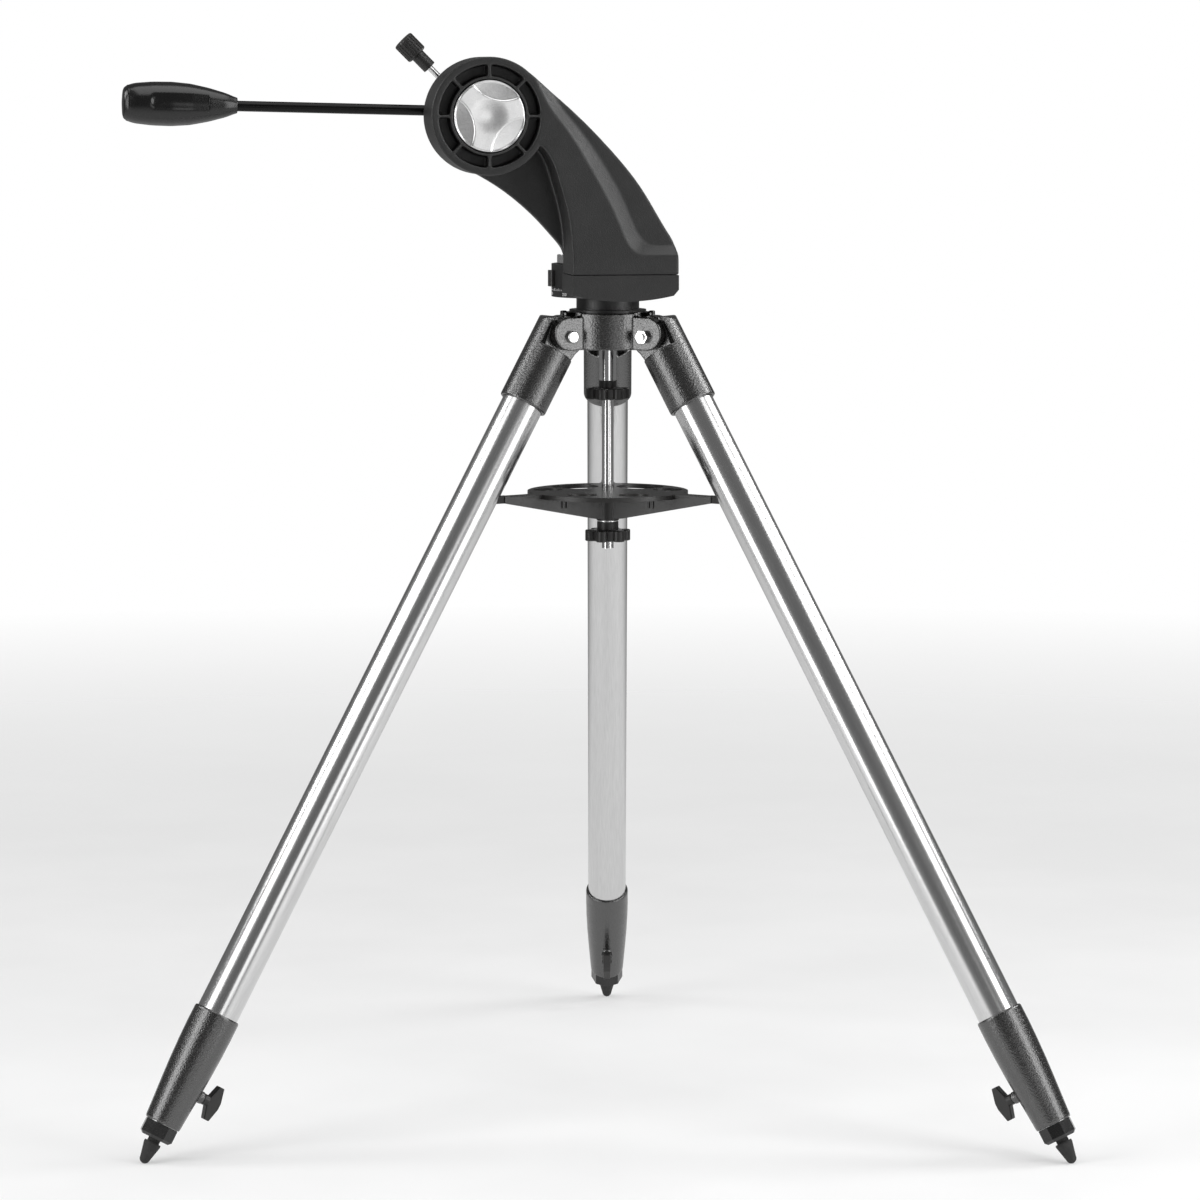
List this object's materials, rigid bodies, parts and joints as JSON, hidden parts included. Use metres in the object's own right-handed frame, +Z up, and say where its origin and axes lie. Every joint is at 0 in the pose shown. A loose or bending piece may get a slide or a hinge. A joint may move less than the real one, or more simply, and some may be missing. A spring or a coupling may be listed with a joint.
{
  "type": "alt azimuth mount",
  "caption": "Telescope mount with an angled single-arm head, side saddle, panning handle and drag knobs, on a folding tripod with extending tubular legs and a tray.",
  "frame": {"origin": "on the floor, on the azimuth axis, with the legs stored at their shortest", "axes": "+Z up along the azimuth axis; +Y along the altitude axis, towards the telescope; -X towards the panning handle"},
  "size_m": [0.9496, 0.9085, 1.1533],
  "materials": {
    "hammered_casting": "glossy black hammered paint on die casting",
    "zinc_steel": "bright zinc plated steel",
    "stainless_tube": "satin stainless steel drawn along its length",
    "inner_tube": "satin stainless steel",
    "lock_plastic": "black moulded plastic",
    "bush_plastic": "black nylon",
    "collar_plastic": "glossy black moulded plastic",
    "tip_rubber": "dull black rubber",
    "chromed_rod": "polished chromed steel",
    "knob_plastic": "black moulded plastic",
    "tray_plastic": "satin black moulded plastic",
    "satin_black_casting": "satin black paint on machined casting",
    "ground_steel": "ground bearing steel",
    "friction_washer": "white low-friction plastic",
    "scale_black": "black anodised with white graduations",
    "drum_casting": "dark grey textured powder coat",
    "textured_black": "black fine-texture powder coat",
    "cover_plastic": "black textured plastic",
    "satin_silver": "satin silver with a brushed face",
    "black_rod": "satin black painted steel",
    "grip_plastic": "glossy black moulded plastic"
  },
  "bodies": {
    "hub": {"tripod_hub": "hammered_casting", "hinge_bolts": "zinc_steel", "hinge_nuts": "zinc_steel", "azimuth_base": "satin_black_casting", "azimuth_shaft": "ground_steel", "azimuth_washers": "friction_washer"},
    "arm": {"azimuth_drum": "drum_casting", "azimuth_bearings": "ground_steel", "base_cover": "textured_black", "azimuth_pointer": "knob_plastic", "arm_casting": "textured_black", "arm_screws": "zinc_steel", "arm_back_cover": "cover_plastic", "altitude_bearings": "ground_steel"},
    "azimuth_circle": {"azimuth_circle": "scale_black"},
    "azimuth_knob": {"azimuth_knob": "satin_silver"},
    "altitude": {"altitude_shaft": "ground_steel", "altitude_washers": "friction_washer", "saddle": "textured_black", "handle_rod": "black_rod", "handle_grip": "grip_plastic"},
    "altitude_circle": {"altitude_circle": "scale_black"},
    "altitude_knob": {"altitude_knob": "satin_silver"},
    "clamp_jaw": {"saddle_jaw": "textured_black"},
    "clamp_screw": {"clamp_stud": "zinc_steel", "clamp_knob": "knob_plastic"},
    "centre_rod": {"centre_rod": "chromed_rod", "fixing_knob": "knob_plastic"},
    "tray": {"tray": "tray_plastic", "tray_pads": "tip_rubber", "tray_washer": "zinc_steel"},
    "tray_knob": {"tray_knob": "knob_plastic"},
    "leg_left": {"leg_head_left": "hammered_casting", "leg_tube_left": "stainless_tube", "lower_casting_left": "hammered_casting"},
    "inner_leg_left": {"inner_leg_left": "inner_tube", "guide_bush_left": "bush_plastic", "foot_collar_left": "collar_plastic", "rubber_tip_left": "tip_rubber"},
    "lock_screw_left": {"lock_screw_left": "lock_plastic"},
    "leg_right": {"leg_head_right": "hammered_casting", "leg_tube_right": "stainless_tube", "lower_casting_right": "hammered_casting"},
    "inner_leg_right": {"inner_leg_right": "inner_tube", "guide_bush_right": "bush_plastic", "foot_collar_right": "collar_plastic", "rubber_tip_right": "tip_rubber"},
    "lock_screw_right": {"lock_screw_right": "lock_plastic"},
    "leg_rear": {"leg_head_rear": "hammered_casting", "leg_tube_rear": "stainless_tube", "lower_casting_rear": "hammered_casting"},
    "inner_leg_rear": {"inner_leg_rear": "inner_tube", "guide_bush_rear": "bush_plastic", "foot_collar_rear": "collar_plastic", "rubber_tip_rear": "tip_rubber"},
    "lock_screw_rear": {"lock_screw_rear": "lock_plastic"}
  },
  "joints": [
    {"name": "azimuth_turn", "type": "hinge", "parent": "hub", "child": "arm", "pos_m": [0, 0, 0.885], "axis": [0, 0, 1], "continuous": true},
    {"name": "azimuth_circle_turn", "type": "hinge", "parent": "hub", "child": "azimuth_circle", "pos_m": [0, 0, 0.881], "axis": [0, 0, 1], "continuous": true},
    {"name": "azimuth_knob_turn", "type": "hinge", "parent": "hub", "child": "azimuth_knob", "pos_m": [0, 0, 0.915], "axis": [0, 0, 1], "range_deg": [0, 660]},
    {"name": "altitude_turn", "type": "hinge", "parent": "arm", "child": "altitude", "pos_m": [-0.142, 0, 1.0675], "axis": [0, 1, 0], "range_deg": [-60, 120]},
    {"name": "altitude_circle_turn", "type": "hinge", "parent": "altitude", "child": "altitude_circle", "pos_m": [-0.142, 0, 1.0675], "axis": [0, 1, 0], "continuous": true},
    {"name": "altitude_knob_turn", "type": "hinge", "parent": "altitude", "child": "altitude_knob", "pos_m": [-0.142, 0, 1.0675], "axis": [0, 1, 0], "range_deg": [0, 660]},
    {"name": "clamp_jaw_slide", "type": "slide", "parent": "altitude", "child": "clamp_jaw", "axis": [-0.7071, 0, 0.7071], "range_m": [0, 0.0055]},
    {"name": "clamp_screw_turn", "type": "hinge", "parent": "clamp_jaw", "child": "clamp_screw", "pos_m": [-0.142, -0.013, 1.0675], "axis": [-0.7071, 0, 0.7071], "range_deg": [0, 1584]},
    {"name": "fixing_knob_turn", "type": "hinge", "parent": "hub", "child": "centre_rod", "pos_m": [0, 0, 0.78], "axis": [0, 0, 1], "range_deg": [0, 1980]},
    {"name": "tray_slide", "type": "slide", "parent": "hub", "child": "tray", "axis": [0, 0, -1], "range_m": [0, 0.56]},
    {"name": "tray_knob_turn", "type": "hinge", "parent": "tray", "child": "tray_knob", "pos_m": [0, 0, 0.62], "axis": [0, 0, 1], "range_deg": [0, 1980]},
    {"name": "leg_fold_left", "type": "hinge", "parent": "hub", "child": "leg_left", "pos_m": [-0.05262, -0.01915, 0.835], "axis": [0.342, -0.9397, 0], "range_deg": [0, 22]},
    {"name": "leg_extension_left", "type": "slide", "parent": "leg_left", "child": "inner_leg_left", "axis": [-0.4755, -0.1731, -0.8625], "range_m": [0, 0.35]},
    {"name": "lock_screw_turn_left", "type": "hinge", "parent": "leg_left", "child": "lock_screw_left", "pos_m": [-0.4566, -0.16619, 0.06173], "axis": [-0.8105, -0.295, 0.506], "range_deg": [0, 450]},
    {"name": "leg_fold_right", "type": "hinge", "parent": "hub", "child": "leg_right", "pos_m": [0.0429, -0.036, 0.835], "axis": [0.6428, 0.766, 0], "range_deg": [0, 22]},
    {"name": "leg_extension_right", "type": "slide", "parent": "leg_right", "child": "inner_leg_right", "axis": [0.3876, -0.3253, -0.8625], "range_m": [0, 0.35]},
    {"name": "lock_screw_turn_right", "type": "hinge", "parent": "leg_right", "child": "lock_screw_right", "pos_m": [0.37222, -0.31233, 0.06173], "axis": [0.6607, -0.5544, 0.506], "range_deg": [0, 450]},
    {"name": "leg_fold_rear", "type": "hinge", "parent": "hub", "child": "leg_rear", "pos_m": [0.00972, 0.05515, 0.835], "axis": [-0.9848, 0.1736, 0], "range_deg": [0, 22]},
    {"name": "leg_extension_rear", "type": "slide", "parent": "leg_rear", "child": "inner_leg_rear", "axis": [0.0879, 0.4983, -0.8625], "range_m": [0, 0.35]},
    {"name": "lock_screw_turn_rear", "type": "hinge", "parent": "leg_rear", "child": "lock_screw_rear", "pos_m": [0.08438, 0.47852, 0.06173], "axis": [0.1498, 0.8494, 0.506], "range_deg": [0, 450]}
  ],
  "couplings": [
    {"joint": "clamp_screw_turn", "follows": "clamp_jaw_slide", "rad_per_m": 5026.5},
    {"joint": "tray_slide", "follows": "leg_fold_left", "m_per_rad": 1.4584},
    {"joint": "leg_fold_right", "follows": "leg_fold_left", "ratio": 1},
    {"joint": "leg_fold_rear", "follows": "leg_fold_left", "ratio": 1}
  ]
}
